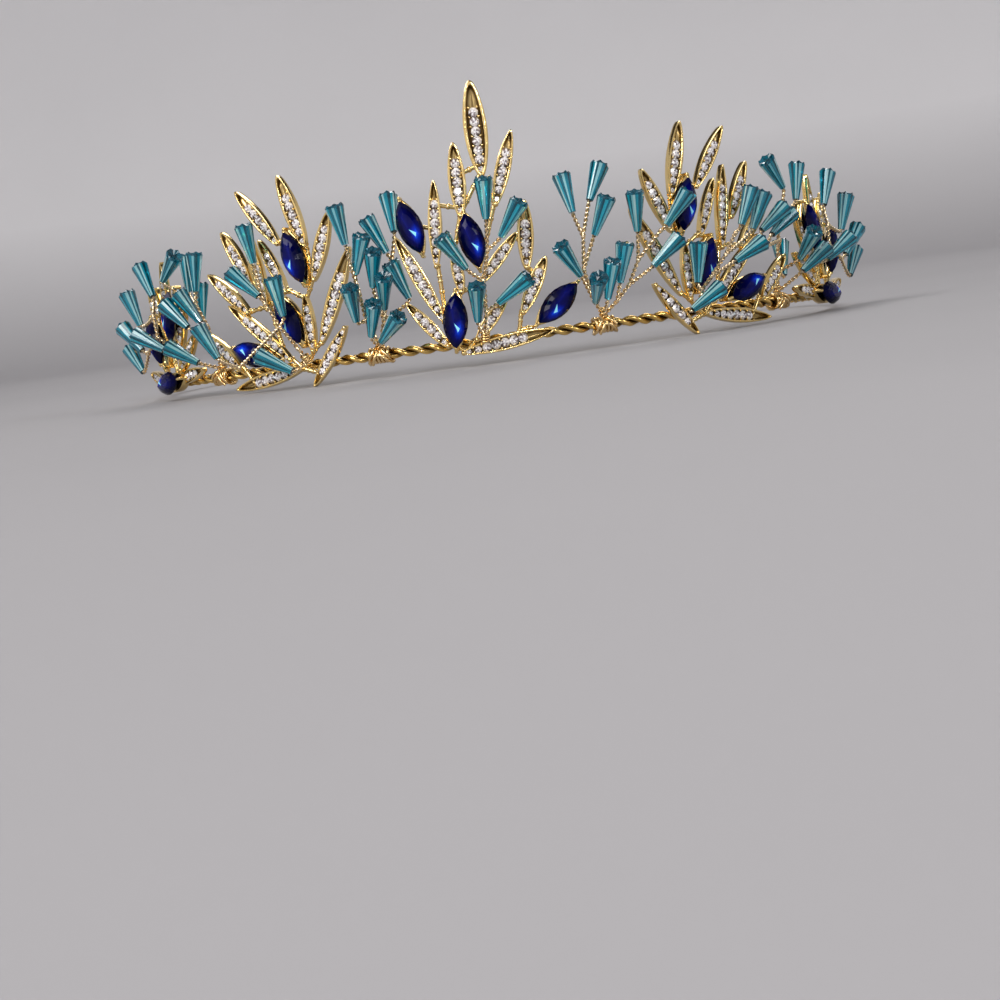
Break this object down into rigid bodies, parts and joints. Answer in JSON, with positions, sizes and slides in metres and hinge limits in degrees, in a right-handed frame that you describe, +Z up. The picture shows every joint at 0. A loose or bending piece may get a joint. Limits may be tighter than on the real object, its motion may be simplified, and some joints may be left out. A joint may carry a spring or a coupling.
{
  "type": "bridal crown",
  "caption": "Bridal crown: a twisted gold wire ring with cast leaf groups, navy marquise stones, and sprays of teal glass beads on fine wire.",
  "frame": {"origin": "middle of the bounding box's bottom, on the plane that the crown rests on", "axes": "+Z up, out of the ring; -Y to the front of the crown; +X to the right of someone who faces the crown's front"},
  "size_m": [0.194, 0.2001, 0.0638],
  "materials": {
    "band_wire": "gold-plated twisted wire",
    "cast_gold": "polished gold plating",
    "marquise_glass": "faceted navy glass with a foiled back",
    "bead_glass": "faceted teal glass",
    "stem_wire": "champagne gold twisted wire"
  },
  "bodies": {
    "root": {"band": "band_wire", "casting_centre": "cast_gold", "casting_left": "cast_gold", "casting_right": "cast_gold", "casting_far_left": "cast_gold", "casting_far_right": "cast_gold", "stone_centre_1": "marquise_glass", "stone_centre_2": "marquise_glass", "stone_centre_3": "marquise_glass", "stone_centre_4": "marquise_glass", "stone_left_1": "marquise_glass", "stone_left_2": "marquise_glass", "stone_left_3": "marquise_glass", "stone_right_1": "marquise_glass", "stone_right_2": "marquise_glass", "stone_right_3": "marquise_glass", "stone_far_left_1": "marquise_glass", "stone_far_left_2": "marquise_glass", "stone_far_left_3": "marquise_glass", "stone_far_right_1": "marquise_glass", "stone_far_right_2": "marquise_glass", "stone_far_right_3": "marquise_glass", "spray_wires_left": "stem_wire", "spray_wires_right": "stem_wire", "sprig_wires_centre": "stem_wire", "bead_left_1": "bead_glass", "bead_left_2": "bead_glass", "bead_left_3": "bead_glass", "bead_left_4": "bead_glass", "bead_left_5": "bead_glass", "bead_left_6": "bead_glass", "bead_left_7": "bead_glass", "bead_left_8": "bead_glass", "bead_left_9": "bead_glass", "bead_left_10": "bead_glass", "bead_right_1": "bead_glass", "bead_right_2": "bead_glass", "bead_right_3": "bead_glass", "bead_right_4": "bead_glass", "bead_right_5": "bead_glass", "bead_right_6": "bead_glass", "bead_right_7": "bead_glass", "bead_right_8": "bead_glass", "bead_right_9": "bead_glass", "bead_right_10": "bead_glass", "bead_centre_1": "bead_glass", "bead_centre_2": "bead_glass", "bead_centre_3": "bead_glass", "bead_centre_4": "bead_glass", "bead_centre_5": "bead_glass", "spray_outer_left": "bead_glass", "spray_outer_right": "bead_glass", "sprig_left": "bead_glass", "sprig_right": "bead_glass", "sprig_far_left": "bead_glass", "sprig_far_right": "bead_glass"}
  },
  "joints": []
}
